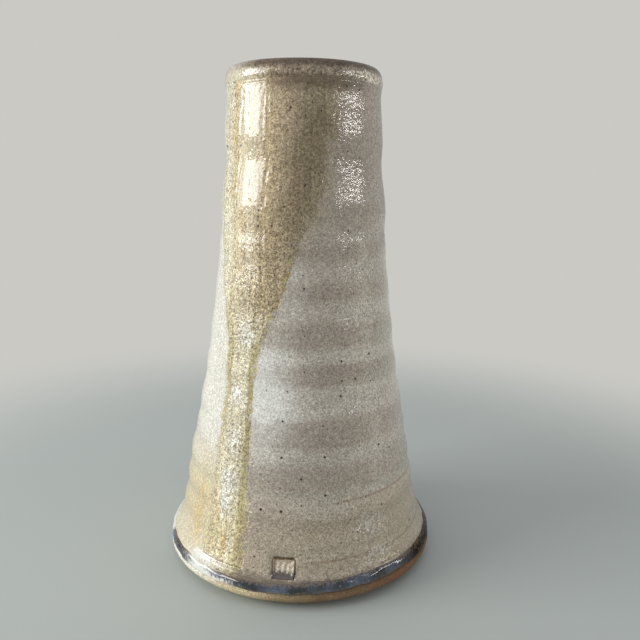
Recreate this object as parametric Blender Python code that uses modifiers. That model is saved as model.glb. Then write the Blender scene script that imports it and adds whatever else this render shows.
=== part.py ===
"""Wheel-thrown stoneware vase: foot ring, flanged floor, ringed tapering wall, rolled lip and glazes.

Metres, +Z up. The origin is the centre of the foot ring's resting face, and the front faces -Y.
Touching pieces keep a gap of CONTACT_GAP between their faces.
"""

import math

import bmesh
import bpy
from mathutils import Matrix, Vector

# ---------------------------------------------------------------- driving dimensions (metres)
TOTAL_HEIGHT = 0.2960
FLANGE_RADIUS = 0.0850
CONTACT_GAP = 0.0003
SEGMENTS = 40                       # facets round every turned piece

# Foot ring, recessed under the flange
FOOT_HEIGHT = 0.0034
FOOT_OUTER_RADIUS = 0.0660
FOOT_INNER_RADIUS = 0.0540
FOOT_CHAMFER = 0.0010

# Floor disc with the flared flange, hollowed underneath inside the foot ring
PLATE_TOP = 0.0170
RECESS_TOP = 0.0080
RECESS_RADIUS = 0.0500
EDGE_ROUND = 0.0033                 # radius of the flange's rounded rim
EDGE_STEPS = 6
EDGE_LIFT = 0.0006                  # the rounded rim's lowest point above the foot ring's top
BEVEL_START_DEG = 23.0              # where the rounded rim meets the bevel
BEVEL_TOP_RADIUS = 0.0812

# Finished outside of the wall: a taper easing off towards the neck, and a flare above the flange
TAPER_HEIGHT = 0.0410
TAPER_RADIUS = 0.0730               # radius at TAPER_HEIGHT
TAPER_SLOPE = -0.200
TAPER_EASE = 0.350                  # how much the slope eases off, per metre of height
FLARE_OUT = 0.0030
FLARE_DECAY = 0.0060
FLARE_ROW_STEPS = (0.0, 0.0020, 0.0045, 0.0080)     # rows of the flare above the wall's foot
WALL_ROW_STEP = 0.0060              # and of the wall above it, at most
WALL_TOP = 0.2858
NECK_FLARE_OUT = 0.0010             # the wall opens again a little under the lip
NECK_FLARE_DECAY = 0.0045

# Throwing rings: (height of the ridge, how far it stands out, how far it reaches up and down)
RIDGES = (
    (0.0340, 0.0009, 0.0070),
    (0.0500, 0.0010, 0.0080),
    (0.0670, 0.0012, 0.0130),
    (0.0840, 0.0013, 0.0140),
    (0.1010, 0.0012, 0.0130),
    (0.1240, 0.0006, 0.0100),
    (0.1470, 0.0006, 0.0130),
    (0.1720, 0.0004, 0.0130),
    (0.1960, 0.0004, 0.0120),
    (0.2190, 0.0014, 0.0200),
    (0.2590, 0.0011, 0.0200),
)

# Clay and glaze thicknesses
GLAZE_COAT = 0.0008
CLAY_WALL = 0.0055
FLOOR_CORNER = 0.0030               # extra clay where the wall meets the floor
FLOOR_CORNER_DECAY = 0.0120
LINER_COAT = 0.0006
LINER_ROWS = 9
LINER_ROW_SPREAD = 1.6              # above 1, rows gather near the floor
INSIDE_ROW_STEP = 4                 # the clay's plain inside keeps every fourth row above the flare

# Rolled lip
LIP_OUTER_RADIUS = 0.0466
LIP_INNER_RADIUS = 0.0388
LIP_RIDGE_HEIGHT = 0.2885
LIP_STEPS = 8
COVE_RADIUS = 0.0456                # under side of the lip, above the wall's top edge

# Dark glaze pooled on the flange's bevel
BAND_COAT = 0.0005
BAND_SHARE = 0.80                   # how far down the bevel it reaches
BAND_CREST = 0.0002                 # how far the pool swells at mid-width

# Ash run: (height, left edge, right edge), the edges as degrees from the front, right positive
RUN_COAT = 0.0006
RUN_LIFT = 0.0004
RUN_COLUMNS = 12
RUN_OUTLINE = (
    (0.0215, -46.0, -24.0),
    (0.0600, -45.5, -25.5),
    (0.1100, -45.0, -26.5),
    (0.1400, -48.0, -25.0),
    (0.1500, -50.0, -20.0),
    (0.1650, -56.5, -12.5),
    (0.1800, -62.0, -6.0),
    (0.2000, -68.0, 2.0),
    (0.2250, -70.0, 11.0),
    (0.2400, -70.0, 20.0),
    (0.2820, -70.0, 24.0),
)

# Impressed square seal, on the flare just above the flange
SEAL_WIDTH = 0.0120
SEAL_HEIGHT = 0.0108
SEAL_ANGLE_DEG = -6.9               # from the front, right positive
SEAL_MIDDLE_HEIGHT = 0.0232
SEAL_DEPTH = 0.0030                 # pocket floor below the finished surface
SEAL_THICKNESS = 0.0016
POCKET_REACH = 0.0090               # full depth of the cutter, which stands out past the glaze
SEAL_BARS = 3
SEAL_BAR_WIDTH = 0.0016
SEAL_BAR_LENGTH = 0.0066
SEAL_BAR_RELIEF = 0.0006

MERGE_DISTANCE = 0.00001
SHARP_ANGLE = math.radians(35.0)


# ---------------------------------------------------------------- outlines
def smooth_radius(height):
    """Finished outside radius at a height, before the throwing rings and the flares."""
    rise = height - TAPER_HEIGHT
    return TAPER_RADIUS + TAPER_SLOPE * rise + TAPER_EASE * rise * rise


def ring_relief(height):
    """How far the throwing rings stand out at a height."""
    relief = 0.0
    for ridge, stand_out, reach in RIDGES:
        distance = abs(height - ridge)
        if distance < reach:
            relief += stand_out * 0.5 * (1.0 + math.cos(math.pi * distance / reach))
    return relief


def outer_radius(height):
    """Finished outside radius, with the flares at both ends and the throwing rings."""
    flare = FLARE_OUT * math.exp(-(height - PLATE_TOP) / FLARE_DECAY)
    flare += NECK_FLARE_OUT * math.exp(-(WALL_TOP - height) / NECK_FLARE_DECAY)
    return smooth_radius(height) + flare + ring_relief(height)


def inner_radius(height):
    """Inside radius of the clay, thicker where the wall meets the floor."""
    corner = FLOOR_CORNER * math.exp(-(height - PLATE_TOP) / FLOOR_CORNER_DECAY)
    return smooth_radius(height) - GLAZE_COAT - CONTACT_GAP - CLAY_WALL - corner


def wall_heights():
    """Heights of the wall's rows: close together on the flare, then evenly spaced."""
    bottom = PLATE_TOP + CONTACT_GAP
    flare_rows = [bottom + step for step in FLARE_ROW_STEPS]
    count = math.ceil((WALL_TOP - flare_rows[-1]) / WALL_ROW_STEP)
    step = (WALL_TOP - flare_rows[-1]) / count
    return flare_rows + [flare_rows[-1] + step * index for index in range(1, count + 1)]


def arc(centre, radius, start_deg, end_deg, steps):
    points = []
    for step in range(steps + 1):
        angle = math.radians(start_deg + (end_deg - start_deg) * step / steps)
        points.append((centre[0] + radius * math.cos(angle), centre[1] + radius * math.sin(angle)))
    return points


def bevel_line():
    """The flange's bevel: its top and bottom points, and its outward normal."""
    centre = (FLANGE_RADIUS - EDGE_ROUND, FOOT_HEIGHT + EDGE_LIFT + EDGE_ROUND)
    bottom = Vector(arc(centre, EDGE_ROUND, BEVEL_START_DEG, BEVEL_START_DEG, 1)[0])
    top = Vector((BEVEL_TOP_RADIUS, PLATE_TOP))
    along = (bottom - top).normalized()
    return centre, top, bottom, Vector((-along.y, along.x))


# ---------------------------------------------------------------- scene and mesh helpers
def clear_scene():
    for item in list(bpy.data.objects):
        bpy.data.objects.remove(item, do_unlink=True)


def new_collection(name):
    group = bpy.data.collections.new(name)
    bpy.context.scene.collection.children.link(group)
    return group


def make_material(name, colour, roughness):
    material = bpy.data.materials.new(name)
    material.use_nodes = True
    shader = material.node_tree.nodes["Principled BSDF"]
    shader.inputs["Base Color"].default_value = (*colour, 1.0)
    shader.inputs["Roughness"].default_value = roughness
    shader.inputs["Metallic"].default_value = 0.0
    return material


def baked(item):
    """Apply an object's modifiers to its own mesh."""
    depsgraph = bpy.context.evaluated_depsgraph_get()
    mesh = bpy.data.meshes.new_from_object(item.evaluated_get(depsgraph))
    item.modifiers.clear()
    item.data = mesh
    return item


def finish_shading(item):
    item.data.shade_smooth()
    item.data.set_sharp_from_angle(angle=SHARP_ANGLE)


def turned(name, outline, group, material, closed):
    """Turn an outline of (radius, height) points round Z; a closed one makes a ring."""
    mesh = bpy.data.meshes.new(name)
    points = [(radius, 0.0, height) for radius, height in outline]
    edges = [(index, index + 1) for index in range(len(points) - 1)]
    if closed:
        edges.append((len(points) - 1, 0))
    mesh.from_pydata(points, edges, [])
    item = bpy.data.objects.new(name, mesh)
    group.objects.link(item)
    screw = item.modifiers.new("turn", "SCREW")
    screw.axis = "Z"
    screw.steps = SEGMENTS
    screw.render_steps = SEGMENTS
    screw.use_merge_vertices = True
    screw.merge_threshold = MERGE_DISTANCE
    bpy.context.view_layer.update()
    baked(item)
    item.data.materials.append(material)
    finish_shading(item)
    return item


def box(name, size, matrix, group):
    bm = bmesh.new()
    bmesh.ops.create_cube(bm, size=1.0, matrix=Matrix.Diagonal((*size, 1.0)))
    mesh = bpy.data.meshes.new(name)
    bm.to_mesh(mesh)
    bm.free()
    item = bpy.data.objects.new(name, mesh)
    item.matrix_world = matrix
    group.objects.link(item)
    return item


def as_cutter(item):
    item.hide_render = True
    item.display_type = "WIRE"
    return item


def boolean(item, tool, operation):
    modifier = item.modifiers.new(tool.name, "BOOLEAN")
    modifier.operation = operation
    modifier.solver = "EXACT"
    modifier.object = tool


# ---------------------------------------------------------------- the pieces, from the bottom up
def make_foot_ring(group, material):
    outline = [
        (FOOT_OUTER_RADIUS, FOOT_HEIGHT),
        (FOOT_OUTER_RADIUS, FOOT_CHAMFER),
        (FOOT_OUTER_RADIUS - FOOT_CHAMFER, 0.0),
        (FOOT_INNER_RADIUS + FOOT_CHAMFER, 0.0),
        (FOOT_INNER_RADIUS, FOOT_CHAMFER),
        (FOOT_INNER_RADIUS, FOOT_HEIGHT),
    ]
    return turned("foot_ring", outline, group, material, closed=True)


def make_base_plate(group, material):
    centre, top, _, _ = bevel_line()
    underside = FOOT_HEIGHT + CONTACT_GAP
    outline = [(0.0, PLATE_TOP), (top.x, top.y)]
    outline += arc(centre, EDGE_ROUND, BEVEL_START_DEG, -90.0, EDGE_STEPS)
    outline += [(centre[0] - EDGE_ROUND, underside), (FOOT_INNER_RADIUS, underside)]
    outline += [(RECESS_RADIUS, RECESS_TOP), (0.0, RECESS_TOP)]
    return turned("base_plate", outline, group, material, closed=False)


def make_body_wall(group, material):
    rows = wall_heights()
    skin = GLAZE_COAT + CONTACT_GAP
    outside = [(outer_radius(height) - skin, height) for height in reversed(rows)]
    flare = rows[:len(FLARE_ROW_STEPS)]
    inside_rows = flare + rows[len(flare):-1:INSIDE_ROW_STEP] + [WALL_TOP]
    inside = [(inner_radius(height), height) for height in inside_rows]
    return turned("body_wall", outside + inside, group, material, closed=True)


def make_outer_glaze(group, material):
    rows = wall_heights()
    outside = [(outer_radius(height), height) for height in reversed(rows)]
    inside = [(outer_radius(height) - GLAZE_COAT, height) for height in rows]
    return turned("outer_glaze", outside + inside, group, material, closed=True)


def make_liner_glaze(group, material):
    floor = PLATE_TOP + CONTACT_GAP
    first = floor + LINER_COAT
    shares = [(step / LINER_ROWS) ** LINER_ROW_SPREAD for step in range(LINER_ROWS + 1)]
    rows = [first + (WALL_TOP - first) * share for share in shares]
    skin = CONTACT_GAP + LINER_COAT
    inside = [(inner_radius(height) - skin, height) for height in rows]
    outside = [(inner_radius(height) - CONTACT_GAP, height) for height in reversed(rows)]
    outline = [(0.0, first)] + inside + outside
    outline += [(inner_radius(floor) - CONTACT_GAP, floor), (0.0, floor)]
    return turned("liner_glaze", outline, group, material, closed=False)


def make_lip_ring(group, material):
    bottom = WALL_TOP + CONTACT_GAP
    crest_radius = 0.5 * (LIP_OUTER_RADIUS + LIP_INNER_RADIUS)
    half_width = 0.5 * (LIP_OUTER_RADIUS - LIP_INNER_RADIUS)
    rise = TOTAL_HEIGHT - LIP_RIDGE_HEIGHT
    dome = []
    for step in range(LIP_STEPS, -1, -1):
        angle = math.pi * step / LIP_STEPS
        dome.append((crest_radius + half_width * math.cos(angle),
                     LIP_RIDGE_HEIGHT + rise * math.sin(angle)))
    outline = dome + [(COVE_RADIUS, bottom), (LIP_INNER_RADIUS, bottom)]
    return turned("lip_ring", outline, group, material, closed=True)


def make_iron_band(group, material):
    _, top, bottom, normal = bevel_line()
    lift = CONTACT_GAP
    bottom = top.lerp(bottom, BAND_SHARE)
    middle = (top + bottom) / 2.0
    outside = [
        top + normal * (lift + BAND_COAT),
        middle + normal * (lift + BAND_COAT + BAND_CREST),
        bottom + normal * (lift + BAND_COAT),
    ]
    inside = [bottom + normal * lift, top + normal * lift]
    outline = [(point.x, point.y) for point in outside + inside]
    return turned("iron_glaze_band", outline, group, material, closed=True)


def run_edges(height):
    """Left and right edge of the ash run at a height, in radians from the front."""
    for (low, left_low, right_low), (high, left_high, right_high) in zip(RUN_OUTLINE, RUN_OUTLINE[1:]):
        if height <= high:
            share = max(0.0, (height - low) / (high - low))
            left = left_low + (left_high - left_low) * share
            right = right_low + (right_high - right_low) * share
            return math.radians(left), math.radians(right)
    return math.radians(RUN_OUTLINE[-1][1]), math.radians(RUN_OUTLINE[-1][2])


def make_ash_run(group, material):
    """A curved sheet laid on the outer glaze, thickened outwards."""
    heights = [height for height in wall_heights() if RUN_OUTLINE[0][0] <= height <= RUN_OUTLINE[-1][0]]
    bm = bmesh.new()
    bmesh.ops.create_grid(bm, x_segments=RUN_COLUMNS, y_segments=len(heights) - 1, size=0.5)
    for vert in bm.verts:
        column = vert.co.x + 0.5
        height = heights[round((vert.co.y + 0.5) * (len(heights) - 1))]
        left, right = run_edges(height)
        angle = left + (right - left) * column
        radius = outer_radius(height) + RUN_LIFT
        vert.co = (radius * math.sin(angle), -radius * math.cos(angle), height)
    mesh = bpy.data.meshes.new("ash_glaze_run")
    bm.to_mesh(mesh)
    bm.free()
    mesh.materials.append(material)
    item = bpy.data.objects.new("ash_glaze_run", mesh)
    group.objects.link(item)
    coat = item.modifiers.new("coat", "SOLIDIFY")
    coat.thickness = RUN_COAT
    coat.offset = 1.0
    bpy.context.view_layer.update()
    baked(item)
    finish_shading(item)
    return item


def seal_matrix():
    """Frame on the finished surface at the seal: X across, Y up the wall, Z out of it."""
    angle = math.radians(SEAL_ANGLE_DEG)
    half = SEAL_HEIGHT / 2.0
    low = outer_radius(SEAL_MIDDLE_HEIGHT - half)
    high = outer_radius(SEAL_MIDDLE_HEIGHT + half)
    tilt = math.atan2(low - high, SEAL_HEIGHT)
    radius = 0.5 * (low + high)
    place = Matrix.Translation((0.0, -radius, SEAL_MIDDLE_HEIGHT))
    upright = Matrix.Rotation(math.radians(90.0) - tilt, 4, "X")
    return Matrix.Rotation(angle, 4, "Z") @ place @ upright


def make_seal(group, cutters, material):
    frame = seal_matrix()
    middle = -SEAL_DEPTH + CONTACT_GAP + SEAL_THICKNESS / 2.0
    size = (SEAL_WIDTH, SEAL_HEIGHT, SEAL_THICKNESS)
    tablet = box("seal_tablet", size, frame @ Matrix.Translation((0.0, 0.0, middle)), group)
    tablet.data.materials.append(material)
    face = middle + SEAL_THICKNESS / 2.0
    spacing = SEAL_WIDTH / (SEAL_BARS + 1)
    for index in range(SEAL_BARS):
        across = spacing * (index + 1) - SEAL_WIDTH / 2.0
        bar_size = (SEAL_BAR_WIDTH, SEAL_BAR_LENGTH, 2.0 * SEAL_BAR_RELIEF)
        bar = box(f"seal_bar_{index}", bar_size, frame @ Matrix.Translation((across, 0.0, face)), cutters)
        boolean(tablet, as_cutter(bar), "UNION")
    return tablet


def cut_seal_pocket(pieces, cutters):
    """Open the glaze and sink a square pocket in the clay for the seal."""
    depth = POCKET_REACH
    size = (SEAL_WIDTH + 2.0 * CONTACT_GAP, SEAL_HEIGHT + 2.0 * CONTACT_GAP, depth)
    place = seal_matrix() @ Matrix.Translation((0.0, 0.0, depth / 2.0 - SEAL_DEPTH))
    pocket = as_cutter(box("seal_pocket", size, place, cutters))
    for piece in pieces:
        boolean(piece, pocket, "DIFFERENCE")


def build():
    clear_scene()
    vase = new_collection("stoneware_vase")
    cutters = new_collection("cutters")

    bare_clay = make_material("bare_clay", (0.30, 0.20, 0.12), 0.80)
    ash_glaze = make_material("ash_glaze", (0.50, 0.45, 0.37), 0.28)
    liner = make_material("liner_glaze", (0.38, 0.33, 0.26), 0.30)
    iron_glaze = make_material("iron_glaze", (0.035, 0.035, 0.042), 0.12)
    ash_run = make_material("ash_run", (0.42, 0.31, 0.13), 0.25)
    seal_clay = make_material("seal_clay", (0.28, 0.21, 0.14), 0.55)

    make_foot_ring(vase, bare_clay)
    make_base_plate(vase, bare_clay)
    wall = make_body_wall(vase, bare_clay)
    make_lip_ring(vase, ash_glaze)
    coat = make_outer_glaze(vase, ash_glaze)
    make_liner_glaze(vase, liner)
    make_iron_band(vase, iron_glaze)
    make_ash_run(vase, ash_run)
    make_seal(vase, cutters, seal_clay)
    cut_seal_pocket((wall, coat), cutters)


build()
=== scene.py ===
import math

import bpy
import numpy as np
from mathutils import Matrix, Vector


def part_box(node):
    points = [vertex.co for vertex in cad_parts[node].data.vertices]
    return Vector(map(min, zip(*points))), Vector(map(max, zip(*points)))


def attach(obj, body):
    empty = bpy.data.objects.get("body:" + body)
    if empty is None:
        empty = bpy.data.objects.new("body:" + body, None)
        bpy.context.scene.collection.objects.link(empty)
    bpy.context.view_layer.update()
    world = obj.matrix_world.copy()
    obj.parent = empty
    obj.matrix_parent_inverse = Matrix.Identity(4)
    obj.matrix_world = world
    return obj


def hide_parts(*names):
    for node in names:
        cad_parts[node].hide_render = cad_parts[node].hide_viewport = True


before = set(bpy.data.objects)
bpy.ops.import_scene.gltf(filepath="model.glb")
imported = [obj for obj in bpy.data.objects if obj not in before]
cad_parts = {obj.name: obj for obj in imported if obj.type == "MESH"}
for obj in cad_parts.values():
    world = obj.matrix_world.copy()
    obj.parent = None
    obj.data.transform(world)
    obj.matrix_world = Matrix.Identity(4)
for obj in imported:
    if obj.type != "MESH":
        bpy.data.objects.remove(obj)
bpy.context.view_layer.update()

MM = 0.001

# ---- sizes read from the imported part
plate_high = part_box("base_plate")[1]
skin_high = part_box("outer_glaze")[1]
lip_low, lip_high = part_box("lip_ring")
foot_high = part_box("foot_ring")[1]
liner_low, liner_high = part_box("liner_glaze")
FLANGE_RADIUS = plate_high.x
PLATE_TOP = plate_high.z
SKIN_TOP = skin_high.z
LIP_BOTTOM = lip_low.z
LIP_TOP = lip_high.z
LIP_RADIUS = lip_high.x
FOOT_TOP = foot_high.z
FOOT_RADIUS = foot_high.x

# ---- the wall's outline, in metres
TAPER_HEIGHT = 0.041
TAPER_RADIUS = 0.073
TAPER_SLOPE = -0.2
TAPER_EASE = 0.35
FLARE_OUT = 0.003
FLARE_DECAY = 0.006
NECK_FLARE_OUT = 0.001
NECK_FLARE_DECAY = 0.0045
# Throwing rings: (height of the ridge, how far it stands out, how far it reaches up and down)
RIDGES = (
    (0.034, 0.0009, 0.007), (0.05, 0.001, 0.008), (0.067, 0.0012, 0.013), (0.084, 0.0013, 0.014),
    (0.101, 0.0012, 0.013), (0.124, 0.0006, 0.01), (0.147, 0.0006, 0.013), (0.172, 0.0004, 0.013),
    (0.196, 0.0004, 0.012), (0.219, 0.0014, 0.02), (0.259, 0.0011, 0.02),
)
REACH_ABOVE = 1.2                  # a ring is gentler above its ridge than below it
REACH_BELOW = 0.8
LEFT_SWELL = 0.0012                 # the wall is fuller low on the left, round this height
LEFT_SWELL_HEIGHT, LEFT_SWELL_REACH = 0.062, 0.017

SKIN_COAT = 0.00055
TOP_ROUND = 0.0001                  # the glaze thins into the groove under the lip
LAP_START = 0.0184                  # heights between which the glaze leaves the wall for the bevel
LAP_FULL = 0.0168
LAP_END = 0.012
LAP_COAT = 0.00032

# Flange: the bevel's top, and the rounded rim
BEVEL_TOP_RADIUS = 0.0812
EDGE_ROUND = 0.0033
EDGE_CENTRE = (FLANGE_RADIUS - EDGE_ROUND, FOOT_TOP + 0.0006 + EDGE_ROUND)
BEVEL_START_DEG = 23.0
RECESS_TOP = 0.008
RECESS_RADIUS = 0.05
FOOT_INNER_RADIUS = 0.054

# Seal
SEAL_WIDTH = 0.012
SEAL_HEIGHT = 0.0108
SEAL_ANGLE_DEG = -6.9
SEAL_MIDDLE = 0.0217
SEAL_GAP = 0.0002
SEAL_BARS = (-0.003, 0.0, 0.003)    # middles of the raised bars, which lean a little to the right
SEAL_LEAN = 0.06
SEAL_BACK = -0.0017                 # the tablet's back, below the finished surface

# Ash run: (height, left edge, right edge), the edges as degrees from the front, right positive
RUN_OUTLINE = (
    (0.018, -46.0, -24.0), (0.06, -45.5, -25.5), (0.11, -45.0, -26.5), (0.132, -47.0, -26.5),
    (0.142, -48.5, -23.5), (0.15, -50.5, -20.0), (0.165, -57.0, -14.5), (0.175, -60.0, -10.5),
    (0.185, -63.5, -6.5), (0.195, -66.5, -4.0), (0.202, -68.5, -0.5), (0.21, -70.0, 5.0),
    (0.22, -71.0, 8.5), (0.235, -72.0, 13.0), (0.245, -72.0, 17.0), (0.26, -72.0, 21.5),
    (0.285, -72.0, 22.5),
)


# ---- smooth wander, the same every run
class Wander:
    """A sum of waves round the wall and up it, without a seam. Amplitude is about 1."""

    def __init__(self, seed, count, around, upward):
        draw = np.random.default_rng(seed)
        self.turns = draw.integers(around[0], around[1] + 1, count)
        self.rates = draw.uniform(upward[0], upward[1], count) * draw.choice((-1.0, 1.0), count)
        self.phases = draw.uniform(0.0, 2.0 * math.pi, count)
        self.scale = math.sqrt(2.0 / count) * 0.7

    def __call__(self, angle, height):
        total = np.zeros(np.broadcast(angle, height).shape)
        for turns, rate, phase in zip(self.turns, self.rates, self.phases):
            total = total + np.cos(turns * angle + 2.0 * math.pi * rate * height + phase)
        return total * self.scale


sway = Wander(11, 7, (1, 4), (1.0, 6.0))
dents = Wander(12, 34, (4, 22), (8.0, 50.0))
pebble = Wander(13, 60, (20, 62), (40.0, 150.0))
finger_lines = Wander(14, 16, (0, 2), (130.0, 330.0))
streaks = Wander(15, 40, (30, 110), (2.0, 22.0))
ripples = Wander(16, 46, (30, 95), (60.0, 210.0))
ring_drift = Wander(17, 6, (1, 3), (2.0, 9.0))
edge_wander = Wander(18, 14, (5, 40), (5.0, 60.0))


def step(value, low, high):
    share = np.clip((value - low) / (high - low), 0.0, 1.0)
    return share * share * (3.0 - 2.0 * share)


def bevel_ends():
    """Top and low ends of the flange's bevel, as (radius, height)."""
    turn = math.radians(BEVEL_START_DEG)
    low = (EDGE_CENTRE[0] + EDGE_ROUND * math.cos(turn), EDGE_CENTRE[1] + EDGE_ROUND * math.sin(turn))
    return Vector((BEVEL_TOP_RADIUS, PLATE_TOP)), Vector(low)


def bevel_radius(height):
    top, low = bevel_ends()
    return top.x + (low.x - top.x) * (top.y - height) / (top.y - low.y)


def taper_radius(height):
    rise = height - TAPER_HEIGHT
    return TAPER_RADIUS + TAPER_SLOPE * rise + TAPER_EASE * rise * rise


def ring_relief(height):
    relief = np.zeros_like(height)
    for ridge, stand_out, reach in RIDGES:
        away = height - ridge
        limit = np.where(away > 0.0, reach * REACH_ABOVE, reach * REACH_BELOW)
        share = np.clip(np.abs(away) / limit, 0.0, 1.0)
        relief = relief + stand_out * 0.5 * (1.0 + np.cos(np.pi * share))
    return relief


def skin_radius(angle, height):
    """Radius of the finished glaze surface at an angle from the front and a height."""
    angle, height = np.broadcast_arrays(np.asarray(angle, float), np.asarray(height, float))
    middle = step(height, 0.02, 0.045) * step(height, 0.284, 0.262)
    tilted = height + middle * (0.0009 * np.sin(angle) + 0.0008 * ring_drift(angle, height))
    radius = taper_radius(height) + ring_relief(tilted)
    radius = radius + FLARE_OUT * np.exp(-(height - PLATE_TOP) / FLARE_DECAY)
    radius = radius + NECK_FLARE_OUT * np.exp(-(SKIN_TOP - height) / NECK_FLARE_DECAY)
    ends = step(height, 0.018, 0.026) * step(height, 0.285, 0.279)
    wander = 0.00018 * sway(angle, height) + 0.00007 * dents(angle, height)
    wander = wander + 0.000022 * pebble(angle, height) + 0.000026 * finger_lines(angle, height)
    fuller = np.exp(-((height - LEFT_SWELL_HEIGHT) / LEFT_SWELL_REACH) ** 2)
    radius = radius + LEFT_SWELL * fuller * np.maximum(-np.sin(angle), 0.0) ** 2
    radius = radius + ends * wander - TOP_ROUND * step(height, SKIN_TOP - 0.0012, SKIN_TOP)
    # the glaze ran over the top of the bevel and stopped in a roll
    lap = step(height, LAP_START, LAP_FULL)
    rolled = bevel_radius(height) + LAP_COAT * step(height, LAP_END, LAP_END + 0.0006)
    return radius * (1.0 - lap) + rolled * lap


# ---- mesh helpers
def grid_points(angles, radii, heights):
    """Points round Z, rows up and columns round; angles, radii and heights broadcast together."""
    angle, radius, height = np.broadcast_arrays(angles, radii, heights)
    return np.stack([radius * np.sin(angle), -radius * np.cos(angle), height], -1)


def make_object(name, points, faces):
    mesh = bpy.data.meshes.new(name)
    mesh.from_pydata(np.asarray(points).reshape(-1, 3).tolist(), [], faces)
    mesh.validate()
    mesh.update()
    mesh.shade_smooth()
    item = bpy.data.objects.new(name, mesh)
    bpy.context.scene.collection.objects.link(item)
    return item


def ring_faces(first, second, columns):
    """Quads between two closed rows, given by the index of their first points."""
    near = np.arange(columns)
    far = (near + 1) % columns
    return np.stack([first + near, first + far, second + far, second + near], -1)


def turned_solid(name, angles, rows):
    """A solid round Z from closed rows of points; one starting or ending on the axis is capped."""
    columns = len(angles)
    points = np.concatenate(rows)
    starts = np.cumsum([0] + [len(row) for row in rows])
    faces = []
    for index in range(len(rows) - 1):
        here, there = int(starts[index]), int(starts[index + 1])
        if len(rows[index]) == 1:
            faces += [(here, there + k, there + (k + 1) % columns) for k in range(columns)]
        elif len(rows[index + 1]) == 1:
            faces += [(here + (k + 1) % columns, here + k, there) for k in range(columns)]
        else:
            faces += ring_faces(here, there, columns)[:, ::-1].tolist()
    if len(rows[0]) > 1 and len(rows[-1]) > 1:
        faces += ring_faces(starts[len(rows) - 1], 0, columns)[:, ::-1].tolist()
    return make_object(name, points, faces)


def sheet_solid(name, front, back):
    """A closed solid between two grids of points of one shape, the first facing outwards."""
    shape = front.shape[:2]
    count = shape[0] * shape[1]
    index = np.arange(count).reshape(shape)
    quads = np.stack([index[:-1, :-1], index[:-1, 1:], index[1:, 1:], index[1:, :-1]], -1).reshape(-1, 4)
    rim = np.concatenate([index[0, :-1], index[:-1, -1], index[-1, :0:-1], index[:0:-1, 0]])
    follow = np.roll(rim, -1)
    faces = quads.tolist() + (quads[:, ::-1] + count).tolist()
    faces += np.stack([follow, rim, rim + count, follow + count], -1).tolist()
    return make_object(name, np.concatenate([front.reshape(-1, 3), back.reshape(-1, 3)]), faces)


def arc(centre, radius, start_deg, end_deg, steps):
    angles = np.radians(np.linspace(start_deg, end_deg, steps + 1))
    return [(centre[0] + radius * math.cos(a), centre[1] + radius * math.sin(a)) for a in angles]


def circle_of(count):
    return np.linspace(-math.pi, math.pi, count, endpoint=False)


# Columns round each turned piece
LIP_COLUMNS, FLANGE_COLUMNS, FOOT_COLUMNS, BAND_COLUMNS, LINER_COLUMNS = 300, 320, 240, 440, 200


# ---- outer glaze, open at the seal
SEAL_ANGLE = math.radians(SEAL_ANGLE_DEG)
SEAL_SPREAD = (SEAL_WIDTH / 2.0 + SEAL_GAP) / float(skin_radius(SEAL_ANGLE, SEAL_MIDDLE))
seal_low_radius, seal_high_radius = (
    float(skin_radius(SEAL_ANGLE, SEAL_MIDDLE + side * SEAL_HEIGHT / 2.0)) for side in (-1, 1)
)
SEAL_TILT = math.atan2(seal_low_radius - seal_high_radius, SEAL_HEIGHT)
SEAL_RISE = (SEAL_HEIGHT / 2.0 + SEAL_GAP) * math.cos(SEAL_TILT)
SHOULDER_DEPTH = 0.001
SHOULDER_REACH = 0.0019
SHOULDER_RADIUS = 0.078             # of the wall near the seal, to turn angles into lengths


def shoulder(angle, height):
    """How far the glaze dips towards the seal's opening."""
    across = np.maximum(np.abs(angle - SEAL_ANGLE) - SEAL_SPREAD, 0.0) * SHOULDER_RADIUS
    up = np.maximum(np.abs(height - SEAL_MIDDLE) - SEAL_RISE, 0.0)
    away = np.sqrt(across * across + up * up)
    return SHOULDER_DEPTH * np.exp(-(away / SHOULDER_REACH) ** 2)


def spaced(stops):
    """Values through (start, end, count) stretches, without repeats."""
    parts = [np.linspace(start, end, count, endpoint=False) for start, end, count in stops]
    return np.concatenate(parts)


FINE_SIDE_DEG = 95.0                # the front is meshed finely as far round as this
BACK_COLUMNS, LEFT_COLUMNS, SEAL_COLUMNS, RIGHT_COLUMNS = 57, 76, 16, 86
LAP_ROWS, SEAL_ROWS, FLARE_ROWS, WALL_ROWS = 9, 18, 7, 240
WALL_START = 0.034                  # height at which the even rows of the wall begin
INNER_STEP = 8                      # the hidden inner face keeps one row in this many


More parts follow.
